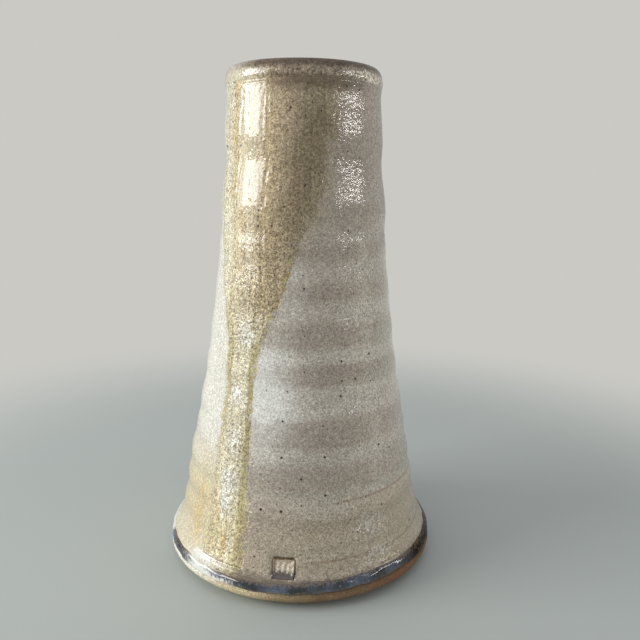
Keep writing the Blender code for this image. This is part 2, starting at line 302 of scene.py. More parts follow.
def make_outer_skin():
    """The glaze from the lap over the bevel up to the lip, open at the seal."""
    left, right = SEAL_ANGLE - SEAL_SPREAD, SEAL_ANGLE + SEAL_SPREAD
    side = math.radians(FINE_SIDE_DEG)
    columns = spaced((
        (-math.pi, -side, BACK_COLUMNS), (-side, left, LEFT_COLUMNS), (left, right, SEAL_COLUMNS),
        (right, side, RIGHT_COLUMNS), (side, math.pi, BACK_COLUMNS),
    ))
    low, high = SEAL_MIDDLE - SEAL_RISE, SEAL_MIDDLE + SEAL_RISE
    rows = np.append(spaced((
        (LAP_END, low, LAP_ROWS), (low, high, SEAL_ROWS), (high, WALL_START, FLARE_ROWS),
        (WALL_START, SKIN_TOP, WALL_ROWS),
    )), SKIN_TOP)
    c0 = BACK_COLUMNS + LEFT_COLUMNS
    c1 = c0 + SEAL_COLUMNS
    r0, r1 = LAP_ROWS, LAP_ROWS + SEAL_ROWS
    fine = r1 + INNER_STEP
    kept = sorted(set(range(fine)) | set(range(fine, len(rows), INNER_STEP)) | {len(rows) - 1})
    inner_rows = rows[kept]
    count = len(columns)
    outer_z, inner_z = rows[:, None], inner_rows[:, None]
    outer_r = skin_radius(columns, outer_z) - shoulder(columns, outer_z)
    inner_r = skin_radius(columns, inner_z) - SKIN_COAT - shoulder(columns, inner_z)
    on_bevel = bevel_radius(np.minimum(inner_z, PLATE_TOP)) + 0.00003
    inner_r = np.where(inner_z < PLATE_TOP + 0.0003, on_bevel, inner_r)
    outer = grid_points(columns, outer_r, outer_z)
    inner = grid_points(columns, inner_r, inner_z)
    base = outer.shape[0] * count

    def cells(row_count, offset, flip):
        quads = []
        for row in range(row_count - 1):
            quad = ring_faces(offset + row * count, offset + (row + 1) * count, count)
            if r0 <= row < r1:
                keep = np.ones(count, bool)
                keep[c0:c1] = False
                quad = quad[keep]
            quads.append(quad[:, ::-1] if flip else quad)
        return np.concatenate(quads).tolist()

    faces = cells(len(rows), 0, False)
    faces += cells(len(inner_rows), base, True)
    faces += ring_faces(0, base, count)[:, ::-1].tolist()
    faces += ring_faces((len(rows) - 1) * count, base + (len(inner_rows) - 1) * count, count).tolist()
    sides = []
    for column in range(c0, c1):
        sides.append((r0 * count + column, r0 * count + column + 1))
        sides.append((r1 * count + column + 1, r1 * count + column))
    for row in range(r0, r1):
        sides.append(((row + 1) * count + c0, row * count + c0))
        sides.append((row * count + c1, (row + 1) * count + c1))
    faces += [(a, b, base + b, base + a) for a, b in sides]
    return make_object("outer_glaze_skin", np.concatenate([outer.reshape(-1, 3), inner.reshape(-1, 3)]), faces)


# ---- ash run
def run_edge(height, column):
    heights = [row[0] for row in RUN_OUTLINE]
    return np.radians(np.interp(height, heights, [row[column] for row in RUN_OUTLINE]))


RUN_BOTTOM = 0.0186
RUN_TOP = 0.2846
RUN_COLUMNS = 100
RUN_ROWS = 236
RUN_FLOAT = 0.00002                 # clear of the skin it lies on
BEADS = (
    # height, degrees from the front, half width and half height in metres, how far it stands out
    (0.113, -36.5, 0.0036, 0.004, 0.0003),
    (0.087, -35.0, 0.0028, 0.0052, 0.00026),
    (0.064, -36.5, 0.004, 0.005, 0.00034),
    (0.033, -35.0, 0.0036, 0.006, 0.00024),
    (0.15, -33.0, 0.006, 0.008, 0.0002),
)


def run_coat(angle, height, left, right):
    """Thickness of the ash run: a film at its edges, rolled up just inside them."""
    radius = taper_radius(height)
    inside = np.minimum(angle - left, right - angle) * radius
    margin = 0.003 + 0.014 * step(height, 0.195, 0.245) * step(right - angle, 0.9, 0.4)
    rise = step(inside, 0.0, margin)
    roll = np.exp(-((inside - 0.0018) / 0.0014) ** 2) * step(height, 0.225, 0.185)
    coat = 0.00003 + 0.00012 * rise + 0.00008 * roll
    coat = coat + rise * (0.00008 * streaks(angle, height) + 0.00003 * ripples(angle, height) + 0.00006)
    for bead_height, bead_deg, half_width, half_height, stand_out in BEADS:
        across = (angle - math.radians(bead_deg)) * radius / half_width
        along = (height - bead_height) / half_height
        coat = coat + rise * stand_out * np.exp(-(across ** 2 + along ** 2))
    ends = step(height, RUN_BOTTOM, RUN_BOTTOM + 0.004) * step(height, RUN_TOP, RUN_TOP - 0.006)
    return 0.00003 + np.maximum(coat - 0.00003, 0.0) * ends


def make_ash_run():
    heights = np.linspace(RUN_BOTTOM, RUN_TOP, RUN_ROWS)[:, None]
    wander = edge_wander(0.35, heights) * math.radians(1.3)
    left = run_edge(heights, 1) + wander
    right = run_edge(heights, 2) + edge_wander(2.1, heights) * math.radians(1.2)
    share = np.linspace(0.0, 1.0, RUN_COLUMNS)[None, :]
    angle = left + (right - left) * share
    under_r = skin_radius(angle, heights) + RUN_FLOAT
    over_r = under_r + run_coat(angle, heights, left, right)
    front, back = grid_points(angle, over_r, heights), grid_points(angle, under_r, heights)
    return sheet_solid("ash_run_relief", front, back)


# ---- rolled lip
LIP_BORE = 0.0388


def make_lip():
    """The rolled lip: its foot grows out of the glaze's edge, its crest is a flattened half round."""
    angles = circle_of(LIP_COLUMNS)
    crest = 0.5 * (LIP_RADIUS + LIP_BORE)
    half = 0.5 * (LIP_RADIUS - LIP_BORE)
    seam = SKIN_TOP + 0.00002
    ridge = seam + 0.002
    outline = [(LIP_BORE + 0.0002, LIP_BOTTOM), (LIP_RADIUS - 0.0024, LIP_BOTTOM), (LIP_RADIUS - 0.0018, seam)]
    foot_rows = ((0.0, 0.0), (0.00025, 0.1), (0.0006, 0.34), (0.001, 0.66), (0.0015, 0.92))
    outline += [(LIP_RADIUS, seam + rise) for rise, share in foot_rows]
    for angle in np.radians(np.linspace(0.0, 180.0, 27)):
        outward = math.copysign(abs(math.cos(angle)) ** 0.86, math.cos(angle))
        outline.append((crest + half * outward, ridge + (LIP_TOP - ridge) * math.sin(angle)))
    outline.append((LIP_BORE, LIP_BOTTOM + 0.0012))
    rows = []
    skin_edge = skin_radius(angles, SKIN_TOP)
    for index, (radius, height) in enumerate(outline):
        free = 0.0 if height < LIP_BOTTOM + 0.0008 else 1.0
        wander = 0.00012 * sway(angles, height) + 0.00005 * dents(angles, height) - 0.00025
        wander = wander + 0.00002 * pebble(angles, height)
        place_at = radius + free * wander
        if 3 <= index < 3 + len(foot_rows):
            share = foot_rows[index - 3][1]
            place_at = skin_edge * (1.0 - share) + (radius + wander) * share
        rows.append(grid_points(angles, place_at, height))
    top = max(float(row[:, 2].max()) for row in rows)
    sag = 0.00012 * sway(angles, 0.5) - 0.00022
    for row in rows:
        lift = np.clip((row[:, 2] - ridge) / (top - ridge), 0.0, 1.0)
        row[:, 2] += lift * sag
    return turned_solid("lip_ring_turned", angles, rows[::-1])


# ---- flange, foot and iron glaze
def make_flange():
    angles = circle_of(FLANGE_COLUMNS)
    top, low = bevel_ends()
    outline = [(0.04, PLATE_TOP), (0.07, PLATE_TOP), (0.08, PLATE_TOP), (top.x - 0.0002, PLATE_TOP)]
    outline += [(top.x + (low.x - top.x) * share, top.y + (low.y - top.y) * share)
                for share in (0.02, 0.18, 0.34, 0.5, 0.66, 0.82)]
    outline += arc(EDGE_CENTRE, EDGE_ROUND, BEVEL_START_DEG, -90.0, 16)
    under = FOOT_TOP + 0.0003
    outline += [(0.078, under + 0.0002), (0.074, under), (0.066, under), (FOOT_INNER_RADIUS, under)]
    outline += [(0.053, under + 0.0012), (0.051, RECESS_TOP - 0.0003), (RECESS_RADIUS, RECESS_TOP)]
    outline += [(0.02, RECESS_TOP)]
    rows = [np.array([[0.0, 0.0, PLATE_TOP]])]
    for radius, height in outline:
        near_rim = float(step(radius, 0.0815, 0.0835))
        rough = 0.00016 * sway(angles, 0.3 + height) + 0.00005 * dents(angles, height)
        rough = rough + 0.00004 * pebble(angles, height) - 0.00035
        notch = 0.0026 * step(np.abs(angles - SEAL_ANGLE), SEAL_SPREAD * 1.25, SEAL_SPREAD * 0.95)
        notch = notch * float(step(height, 0.015, 0.016)) * float(radius > 0.078)
        rows.append(grid_points(angles, radius + near_rim * rough - notch, height))
    rows.append(np.array([[0.0, 0.0, RECESS_TOP]]))
    return turned_solid("base_plate_flange", angles, rows)


def make_foot():
    angles = circle_of(FOOT_COLUMNS)
    inner, chamfer = FOOT_INNER_RADIUS, 0.001
    outline = [(inner, FOOT_TOP), (inner, chamfer)]
    outline += [(inner + chamfer * (1 - math.cos(a)), chamfer * (1 - math.sin(a)))
                for a in np.radians((20.0, 45.0, 70.0, 90.0))]
    outline += [(0.06, 0.0)]
    outline += [(FOOT_RADIUS - chamfer * (1 - math.cos(a)), chamfer * (1 - math.sin(a)))
                for a in np.radians((90.0, 70.0, 45.0, 20.0))]
    outline += [(FOOT_RADIUS, chamfer), (FOOT_RADIUS, FOOT_TOP)]
    rows = []
    for radius, height in outline:
        free = 1.0 if 0.0002 < height < FOOT_TOP - 0.0002 else 0.0
        rough = free * (0.00006 * dents(angles, height) + 0.00003 * pebble(angles, height))
        rows.append(grid_points(angles, radius - abs(rough), height))
    return turned_solid("foot_ring_turned", angles, rows[::-1])


band_edge = Wander(21, 22, (3, 46), (0.0, 1.0))
band_low_edge = Wander(22, 26, (4, 60), (0.0, 1.0))
band_swell = Wander(23, 30, (4, 50), (30.0, 160.0))
BAND_ROWS = 20
BAND_TOP = ((-180, 16.0), (-120, 16.0), (-90, 15.4), (-74, 14.6), (-60, 14.4), (-48, 14.2), (-36, 14.0),
            (-24, 14.4), (-12, 14.6), (-3, 15.0), (5, 15.9), (14, 16.2), (30, 16.8), (42, 16.7), (52, 16.4),
            (62, 17.0), (78, 17.4), (100, 17.0), (140, 16.4), (180, 16.0))
BAND_LOW = ((-180, 10.6), (-120, 10.6), (-90, 10.4), (-74, 9.6), (-60, 9.3), (-45, 9.2), (-30, 9.3),
            (-18, 9.6), (0, 10.0), (20, 10.2), (34, 10.6), (44, 11.2), (50, 10.6), (60, 9.4), (85, 9.3),
            (120, 10.4), (180, 10.6))
BAND_SWELL = 0.0008
BAND_LIMIT = FLANGE_RADIUS - 0.00012    # the pool stays inside the flange's rim


def table_lookup(table, angles):
    return np.interp(np.degrees(angles), [row[0] for row in table], [row[1] * MM for row in table])


def make_iron_band():
    """The dark glaze pooled on the bevel, lapping over the foot of the outer glaze."""
    angles = circle_of(BAND_COLUMNS)
    top = table_lookup(BAND_TOP, angles) + 0.00028 * band_edge(angles, 0.0)
    low = table_lookup(BAND_LOW, angles) + 0.0003 * band_low_edge(angles, 0.0)
    over, under = [], []
    for share in np.linspace(0.0, 1.0, BAND_ROWS):
        height = low + (top - low) * share
        on_skin = skin_radius(angles, np.maximum(height, LAP_END)) - shoulder(angles, height)
        radius = np.where(height > LAP_END, on_skin, bevel_radius(height))
        bulge = (4.0 * share * (1.0 - share)) ** 0.62 if 0.0 < share < 1.0 else 0.0
        swell = BAND_SWELL + 0.00022 * band_swell(angles, height)
        coat = 0.00004 + bulge * swell
        coat = np.minimum(coat, np.maximum(BAND_LIMIT - radius, 0.00004))
        over.append(grid_points(angles, radius + coat, height))
        under.append(grid_points(angles, radius + 0.00002, height))
        over[-1][:, 2] += 0.45 * (coat - 0.00004)
    return turned_solid("iron_band_pool", angles, over[::-1] + under)


# ---- liner inside
inside_rings = Wander(31, 12, (0, 2), (28.0, 75.0))
INSIDE_DEPTH = 0.0066               # from the finished surface to the inner face of the clay
FLOOR_CORNER, FLOOR_CORNER_DECAY = 0.003, 0.012
FLOOR_ROUND = 0.002
LINER_FACE, LINER_BACK = 0.0009, 0.0003    # how far in from the clay its two faces stand


def make_liner():
    """The liner glaze: the floor inside, then the wall up to the lip, and its hidden outer face."""
    angles = circle_of(LINER_COLUMNS)
    floor_top = liner_low.z + 0.0006
    heights = np.concatenate([
        floor_top + np.array([0.0, 0.0006, 0.0016, 0.003, 0.005, 0.008]),
        np.linspace(floor_top + 0.011, liner_high.z, 96),
    ])

    def clay(height):
        """Inner radius of the clay wall, thicker in the corner at the floor."""
        corner = FLOOR_CORNER * np.exp(-(height - PLATE_TOP) / FLOOR_CORNER_DECAY)
        return taper_radius(height) - INSIDE_DEPTH - corner

    rows = [np.array([[0.0, 0.0, floor_top]])]
    for share in (0.25, 0.5, 0.75, 0.93):
        ripple = 0.00012 * math.cos(share * 26.0)
        radius = (clay(floor_top) - LINER_FACE - FLOOR_ROUND) * share
        rows.append(grid_points(angles, radius, floor_top + 0.00012 + ripple))
    for height in heights:
        short = 1.0 - min(1.0, (height - floor_top) / FLOOR_ROUND)
        rounded = FLOOR_ROUND * (1.0 - math.sqrt(max(0.0, 1.0 - short ** 2)))
        free = float(step(height, floor_top, floor_top + 0.01))
        free = free * float(step(height, liner_high.z, liner_high.z - 0.004))
        ring = free * (0.00022 * inside_rings(angles, height) - 0.00032 + 0.00004 * dents(angles, height))
        rows.append(grid_points(angles, clay(height) - LINER_FACE - rounded + ring, height))
    for height in heights[::-1][::12]:
        rows.append(grid_points(angles, clay(height) - LINER_BACK, height))
    rows.append(grid_points(angles, clay(liner_low.z) - LINER_BACK, liner_low.z))
    rows.append(np.array([[0.0, 0.0, liner_low.z]]))
    return turned_solid("liner_skin", angles, rows)


# ---- seal
def seal_frame():
    """Frame on the finished surface at the seal: X across, Y up the wall, Z out of it."""
    radius = 0.5 * (seal_low_radius + seal_high_radius)
    place = Matrix.Translation((0.0, -radius, SEAL_MIDDLE))
    upright = Matrix.Rotation(math.radians(90.0) - SEAL_TILT, 4, "X")
    return Matrix.Rotation(SEAL_ANGLE, 4, "Z") @ place @ upright


def make_seal():
    """A pressed square tablet with three plain raised bars."""
    columns, rows = 64, 58
    across = np.linspace(-SEAL_WIDTH / 2.0, SEAL_WIDTH / 2.0, columns)[None, :]
    up = np.linspace(-SEAL_HEIGHT / 2.0, SEAL_HEIGHT / 2.0, rows)[:, None]
    from_edge = np.minimum(SEAL_WIDTH / 2.0 - np.abs(across), SEAL_HEIGHT / 2.0 - np.abs(up))
    face = -0.0005 - 0.0008 * step(from_edge, 0.0, 0.0026)
    for middle in SEAL_BARS:
        leaning = across - middle - SEAL_LEAN * up
        bar = step(np.abs(leaning), 0.0014, 0.0001) * step(np.abs(up - 0.0004), 0.004, 0.0016)
        face = face + 0.0004 * bar
    face = face + 0.00009 * np.sin(across * 1500.0 + up * 900.0) * np.sin(up * 1700.0 - across * 400.0)
    face = face - 0.0004 * (1.0 - step(from_edge, 0.0, 0.0004))
    shape = (rows, columns)
    front = np.stack([np.broadcast_to(across, shape), np.broadcast_to(up, shape), face], -1)
    back = front.copy()
    back[..., 2] = SEAL_BACK
    item = sheet_solid("seal_tablet_pressed", front, back)
    item.data.transform(seal_frame())
    return item


# ---- material graphs
def fill(node, values):
    """Set a node's inputs by name."""
    for name, value in values.items():
        node.inputs[name].default_value = value


class Field:
    """A socket that can be used in arithmetic: every operation adds a math node."""

    def __init__(self, graph, socket):
        self.graph, self.socket = graph, socket

    def __rsub__(self, other):
        return self.graph.math("SUBTRACT", other, self)


def arithmetic(operation):
    return lambda field, other: field.graph.math(operation, field, other)


Field.__add__ = Field.__radd__ = arithmetic("ADD")
Field.__mul__ = Field.__rmul__ = arithmetic("MULTIPLY")
Field.__sub__, Field.__truediv__ = arithmetic("SUBTRACT"), arithmetic("DIVIDE")


WALL_RADIUS = 0.06                  # about the wall's at middle height


class Graph:
    """Builds a Principled material from fields over the object's own coordinates."""

    def __init__(self, name):
        self.material = bpy.data.materials.new(name)
        self.material.use_nodes = True
        self.tree = self.material.node_tree
        self.shader = self.tree.nodes["Principled BSDF"]
        fill(self.shader, {"Metallic": 0.0})
        self.position = self.node("ShaderNodeTexCoord").outputs["Object"]
        split = self.node("ShaderNodeSeparateXYZ")
        self.link(self.position, split.inputs[0])
        self.x, self.y, self.z = (Field(self, split.outputs[k]) for k in range(3))
        flat = self.math("SQRT", self.x * self.x + self.y * self.y)
        self.radius = self.math("MAXIMUM", flat, 0.001)
        self.angle = self.math("ARCTAN2", self.x, self.y * -1.0) * math.degrees(1.0)
        # round-the-wall coordinates, so that streaks follow the taper
        self.wall_x, self.wall_y = (side / self.radius * WALL_RADIUS for side in (self.x, self.y))
        # falls to 0 before the back, so that what is on the right leaves no seam there
        self.right_end = self.step(self.angle, 175.0, 130.0)

    def node(self, kind):
        return self.tree.nodes.new(kind)

    def link(self, source, target):
        self.tree.links.new(source, target)

    def feed(self, target, value):
        if isinstance(value, Field):
            self.link(value.socket, target)
        elif isinstance(value, bpy.types.NodeSocket):
            self.link(value, target)
        else:
            target.default_value = value

    def math(self, operation, *values):
        node = self.node("ShaderNodeMath")
        node.operation = operation
        for target, value in zip(node.inputs, values):
            self.feed(target, value)
        return Field(self, node.outputs[0])

    def clamp(self, value):
        return self.math("MINIMUM", self.math("MAXIMUM", value, 0.0), 1.0)

    def step(self, value, low, high):
        """0 below low and 1 above high, smooth in between; low above high turns it round."""
        node = self.node("ShaderNodeMapRange")
        node.interpolation_type = "SMOOTHSTEP"
        bottom, top = (0.0, 1.0) if low < high else (1.0, 0.0)
        fill(node, {"From Min": min(low, high), "From Max": max(low, high), "To Min": bottom, "To Max": top})
        self.feed(node.inputs["Value"], value)
        return Field(self, node.outputs["Result"])

    def hump(self, value, centre, width):
        """1 at the centre, fading like a bell over the width."""
        share = (value - centre) / width
        return self.math("EXPONENT", share * share * -1.0)

    def spot(self, degrees, height, half_degrees, half_height):
        """1 at a place on the wall, fading round it."""
        return self.hump(self.angle, degrees, half_degrees) * self.hump(self.z, height, half_height)

    def curve(self, value, table, low, high, span_low, span_high):
        """A table of (value, result) read smoothly between its rows."""
        node = self.node("ShaderNodeFloatCurve")
        points = node.mapping.curves[0].points
        rows = [((a - low) / (high - low), (b - span_low) / (span_high - span_low)) for a, b in table]
        points[0].location, points[1].location = rows[0], rows[-1]
        for row in rows[1:-1]:
            points.new(*row)
        for point in points:
            point.handle_type = "AUTO_CLAMPED"
        node.mapping.update()
        self.feed(node.inputs["Value"], (value - low) / (high - low))
        return Field(self, node.outputs[0]) * (span_high - span_low) + span_low

    def vector(self, x, y, z):
        node = self.node("ShaderNodeCombineXYZ")
        for target, value in zip(node.inputs, (x, y, z)):
            self.feed(target, value)
        return node.outputs[0]

    def noise(self, place, scale, detail=2.0, roughness=0.5):
        """Cloudy noise around 0."""
        node = self.node("ShaderNodeTexNoise")
        self.link(place, node.inputs["Vector"])
        fill(node, {"Scale": scale, "Detail": detail, "Roughness": roughness})
        return Field(self, node.outputs["Fac"]) - 0.5

    def specks(self, place, scale, radius, share, spread=0.35, dimensions="3D"):
        """Round specks of a radius in metres, in a share of the cells; scale is cells to the metre."""
        node = self.node("ShaderNodeTexVoronoi")
        node.voronoi_dimensions = dimensions
        self.link(place, node.inputs["Vector"])
        fill(node, {"Scale": scale})
        split = self.node("ShaderNodeSeparateColor")
        self.link(node.outputs["Color"], split.inputs[0])
        chosen = self.step(Field(self, split.outputs[0]), share + 0.01, share)
        size = (Field(self, split.outputs[1]) * 0.9 + 0.55) * (radius * scale)
        away = Field(self, node.outputs["Distance"]) / size
        return self.step(away, 1.0 + spread, 1.0 - spread) * chosen

    def wall_specks(self, cell, radius, share):
        """Specks laid out on the wall itself, one to a cell of a width in metres."""
        place = self.vector(self.angle * math.radians(WALL_RADIUS), self.z, 0.0)
        return self.specks(place, 1.0 / cell, radius, share, 0.45, "2D")

    def mix(self, share, first, second):
        node = self.node("ShaderNodeMix")
        node.data_type = "RGBA"
        node.clamp_factor = True
        for slot, value in ((0, share), (6, first), (7, second)):
            self.feed(node.inputs[slot], value)
        return node.outputs[2]

    def ramp(self, value, stops, low, high):
        """Colour by value, through (value, red, green, blue) stops."""
        node = self.node("ShaderNodeValToRGB")
        node.color_ramp.interpolation = "EASE"
        marks = node.color_ramp.elements
        while len(marks) < len(stops):
            marks.new(0.5)
        for mark, stop in zip(marks, stops):
            mark.position = (stop[0] - low) / (high - low)
        for mark, stop in zip(marks, stops):
            mark.color = srgb(*stop[1:])
        self.feed(node.inputs["Fac"], (value - low) / (high - low))
        return node.outputs["Color"]

    def brighten(self, shade, share):
        """Multiply a colour by 1 + share."""
        node = self.node("ShaderNodeVectorMath")
        node.operation = "SCALE"
        self.feed(node.inputs[0], shade)
        self.feed(node.inputs["Scale"], self.math("MAXIMUM", share + 1.0, 0.05))
        return node.outputs[0]

    def grit(self, shade, amount, dark):
        """Lighten a colour where amount is above 0, and take it towards the dark one below 0."""
        lit = self.brighten(shade, self.math("MAXIMUM", amount, 0.0))
        return self.mix(self.math("MAXIMUM", amount * -1.0, 0.0), lit, dark)

    def finish(self, shade, roughness, relief=None, ior=1.52):
        """Feed the shader; relief is a height in metres."""
        self.feed(self.shader.inputs["Base Color"], shade)
        self.feed(self.shader.inputs["Roughness"], roughness)
        fill(self.shader, {"IOR": ior})
        if relief is not None:
            bump = self.node("ShaderNodeBump")
            fill(bump, {"Strength": 1.0, "Distance": 1.0})
            self.feed(bump.inputs["Height"], relief)
            self.link(bump.outputs[0], self.shader.inputs["Normal"])
        return self.material


def srgb(red, green, blue):
    """A colour given as 8-bit display values, in the linear values that shaders use."""
    def linear(value):
        share = value / 255.0
        return share / 12.92 if share <= 0.04045 else ((share + 0.055) / 1.055) ** 2.4
    return (linear(red), linear(green), linear(blue), 1.0)


STONE = srgb(184, 174, 159)
STONE_PALE = srgb(204, 198, 184)
STONE_WARM = srgb(170, 156, 143)
STONE_LOW = srgb(179, 165, 141)
ASH_WHITE = srgb(226, 226, 219)
CREAM = srgb(228, 227, 216)
CREAM_WARM = srgb(212, 200, 168)
GOLD = srgb(212, 180, 122)
YELLOW = srgb(218, 202, 152)
TAN = srgb(188, 166, 126)
OLIVE = srgb(152, 136, 92)
OLIVE_DARK = srgb(110, 96, 72)
CELADON = srgb(172, 178, 160)
MAUVE = srgb(172, 160, 146)
RUST = srgb(122, 86, 54)
UMBER = srgb(96, 78, 60)
IRON_SPECK = srgb(56, 42, 30)


def glaze(name):
    """Wood-ash glaze: stone grey on the right, cream on the left, with the golden run between."""
    g = Graph(name)
    z, angle = g.z, g.angle
    wall = g.vector(g.wall_x, g.wall_y, z)
    stretched = g.vector(g.wall_x, g.wall_y, z * 0.045)
    coarse = g.noise(wall, 16, 2)
    cloud = g.noise(wall, 60, 3)
    mottle = g.noise(g.position, 260, 3, 0.6)
    grain = g.noise(g.position, 1250, 2, 0.7)
    speckle = g.noise(g.position, 640, 2, 0.6)
    peel = g.noise(g.position, 560, 1)
    streak = g.noise(stretched, 150, 2)
    thread = g.noise(stretched, 520, 2, 0.6)

    # stone-grey ground with bands from the throwing rings
    wavy = z + coarse * 0.006 + cloud * 0.002
    bands = g.curve(wavy, (
        (0.000, 0.5), (0.022, 0.4), (0.029, 0.8), (0.04, 0.35), (0.046, 0.45), (0.057, 0.85),
        (0.064, 0.4), (0.07, 0.2), (0.081, 0.8), (0.088, 0.3), (0.096, 0.15), (0.107, 0.9),
        (0.112, 0.8), (0.117, 0.9), (0.124, 0.15), (0.131, 0.3), (0.137, 0.85), (0.146, 0.3),
        (0.152, 0.35), (0.162, 0.75), (0.172, 0.35), (0.184, 0.75), (0.194, 0.4), (0.204, 0.65),
        (0.213, 0.4), (0.226, 0.65), (0.245, 0.45), (0.268, 0.6), (0.3, 0.45),
    ), 0, 0.3, 0, 1) - 0.5
    shade = g.mix(g.clamp(cloud * 1.6 + 0.45), STONE, STONE_WARM)
    shade = g.mix(g.clamp(bands * 1.6 + coarse * 0.9 + 0.2), shade, STONE_PALE)
    shade = g.brighten(shade, bands * 0.12 - g.hump(angle, 2, 26) * 0.14 - g.step(z, 0.18, 0.23) * 0.07 - 0.06)
    shade = g.brighten(shade, g.hump(angle, 40, 17) * g.step(z, 0.2, 0.17) * 0.15)
    low_part = g.step(z + cloud * 0.02, 0.075, 0.035)
    shade = g.mix(low_part * 0.7, shade, STONE_LOW)
    blush = g.clamp(g.spot(8, 0.255, 24, 0.035) + g.spot(38, 0.268, 12, 0.012) * 0.5)
    shade = g.mix(blush * 0.5, shade, STONE_WARM)
    pale = g.spot(-22, 0.114, 17, 0.029) * 1.2 + g.spot(-6, 0.172, 8, 0.016) * 0.25
    shade = g.mix(g.clamp(pale * (mottle * 0.9 + bands * 0.7 + 1)), shade, ASH_WHITE)
    column = g.hump(angle + cloud * 8, 41, 4.5) * g.step(z, 0.05, 0.075) * g.step(z, 0.215, 0.19)
    shade = g.mix(column * 0.45, shade, STONE_PALE)
    green = g.clamp(g.spot(60, 0.146, 14, 0.008) + g.spot(55, 0.122, 16, 0.005) * 0.6)
    shade = g.mix(green * 0.55, shade, CELADON)
    side = g.step(angle + cloud * 20, 38, 68) * g.step(angle, 150, 110)
    shade = g.mix(side * 0.45, shade, STONE_PALE)
    mauve = g.clamp(g.spot(-16, 0.047, 8.5, 0.014) * 1.2 + cloud * 0.5)
    shade = g.mix(mauve * g.step(z, 0.075, 0.06) * 0.6, shade, MAUVE)

    # cream beyond the run's left edge, fading out on the back
    ragged = thread * 5 + mottle * 10 + cloud * 4 + speckle * 5
    left_edge, right_edge = (
        g.curve(z, [(row[0], row[side]) for row in RUN_OUTLINE], 0, 0.3, -90, 30) for side in (1, 2)
    )
    cream_share = g.step(angle - left_edge + ragged, 2, -2) * g.step(angle + coarse * 40, -165, -120)
    cream = g.mix(g.step(z + cloud * 0.05, 0.096, 0.046), CREAM, CREAM_WARM)
    yellowed = g.clamp((cloud + mottle * 0.6) * 2.4 + 0.35) * g.step(z + cloud * 0.04, 0.085, 0.045)
    cream = g.mix(yellowed * (0.85 - g.step(z, 0.04, 0.024) * 0.35), cream, YELLOW)
    cream = g.mix(g.step(z + mottle * 0.006, 0.036, 0.022) * 0.4, cream, srgb(230, 223, 200))
    amber = g.hump(angle + thread * 7 + streak * 6, -54.5, 1.2)
    amber = amber * g.step(z, 0.064, 0.048) * g.step(z, 0.016, 0.03)
    amber = amber + g.hump(angle + thread * 7, -41, 1.4) * g.hump(z, 0.022, 0.008)
    amber = amber + g.spot(-57, 0.036, 4, 0.016) * 0.55
    cream = g.mix(g.clamp(amber * (mottle * 2 + 0.75)) * 0.85, cream, GOLD)
    cream = g.grit(cream, mottle * 0.2 + grain * 1.6 + speckle * 0.8, srgb(176, 154, 108))
    shade = g.mix(cream_share, shade, cream)

    # the golden run: pale on the left, tan, then olive on the right
    drift = angle + streak * 12 + thread * 4
    upper = g.ramp(drift, (
        (-78, 220, 216, 194), (-66, 217, 211, 182), (-56, 222, 215, 190),
        (-50, 211, 200, 168), (-43, 209, 196, 166), (-34, 202, 189, 160),
        (-26, 186, 168, 134), (-14, 176, 160, 132), (-4, 158, 145, 119),
        (8, 152, 139, 114), (20, 158, 144, 118),
    ), -90, 30)
    lower = g.ramp(drift, (
        (-60, 214, 206, 176), (-48, 198, 186, 148), (-44, 198, 187, 150),
        (-39, 214, 206, 180), (-33, 212, 204, 176), (-29, 184, 174, 136),
        (-26, 192, 182, 146), (-20, 204, 196, 172),
    ), -90, 30)
    golden = g.hump(drift, -53, 4.5) * g.step(z + cloud * 0.06, 0.215, 0.245)
    golden = golden + g.hump(drift, -43.5, 2.2) * g.hump(z + cloud * 0.05, 0.208, 0.026) * 0.9
    upper = g.mix(g.clamp(golden * (mottle * 1.6 + cloud * 1.2 + 0.9)) * 0.65, upper, srgb(192, 166, 116))
    run = g.mix(g.step(z + cloud * 0.03, 0.175, 0.14), upper, lower)
    # white glaze on the run's beads, partly a painted highlight: pale spots where the window's glints fall
    pale_beads_and_glints = g.clamp(
        (g.spot(-36.5, 0.113, 3.6, 0.005) + g.spot(-35, 0.087, 2.6, 0.006) + g.spot(-36.5, 0.064, 4.2, 0.006)
         + g.spot(-38, 0.05, 4.4, 0.007) + g.spot(-33, 0.146, 5, 0.005) + g.spot(-34, 0.03, 3, 0.006) * 0.5)
        * (mottle * 3 + speckle * 6 + 1))
    run = g.mix(g.step(z + cloud * 0.03, 0.07, 0.04) * 0.5, run, YELLOW)
    run = g.mix(pale_beads_and_glints * 0.85, run, ASH_WHITE)
    tan_zone = g.hump(angle - right_edge + thread * 9 + cloud * 18, -13, 13.5)
    tan_zone = tan_zone * g.step(z + cloud * 0.03, 0.284, 0.262) * g.step(z + cloud * 0.03, 0.135, 0.165)
    tan_share = g.clamp(tan_zone * (mottle * 1.8 + cloud * 2.4 + 1)) * (g.step(z, 0.175, 0.235) * 0.45 + 0.3)
    run = g.mix(tan_share, run, OLIVE_DARK)
    drips = g.clamp(g.hump(angle + thread * 5, -35.5, 1.6) * g.hump(z, 0.029, 0.007)
                    + g.hump(angle + thread * 5, -42, 1.3) * g.hump(z, 0.045, 0.012) * 0.7)
    run = g.mix(drips * 0.9, run, GOLD)
    olive_rim = g.hump(angle - left_edge + ragged * 0.4, 1.5, 1.6)
    olive_rim = olive_rim * g.step(z, 0.22, 0.17) * g.step(z, 0.075, 0.11)
    olive_rim = olive_rim * 0.7 + g.hump(right_edge - angle + ragged * 0.4, 2, 1.9) * g.step(z, 0.215, 0.17)
    run = g.mix(g.clamp(olive_rim * (mottle * 2 + speckle * 2 + 1)) * 0.55, run, OLIVE)
    glassy = g.hump(angle, -37, 9) * g.step(z, 0.212, 0.222)
    coarse_grit = g.hump(angle - right_edge, -13, 12) * g.hump(z, 0.185, 0.045)
    gritty = (grain * (coarse_grit * 1.6 + 3.6) + speckle * (coarse_grit * 0.9 + 2.4)) * (1 - glassy * 0.6)
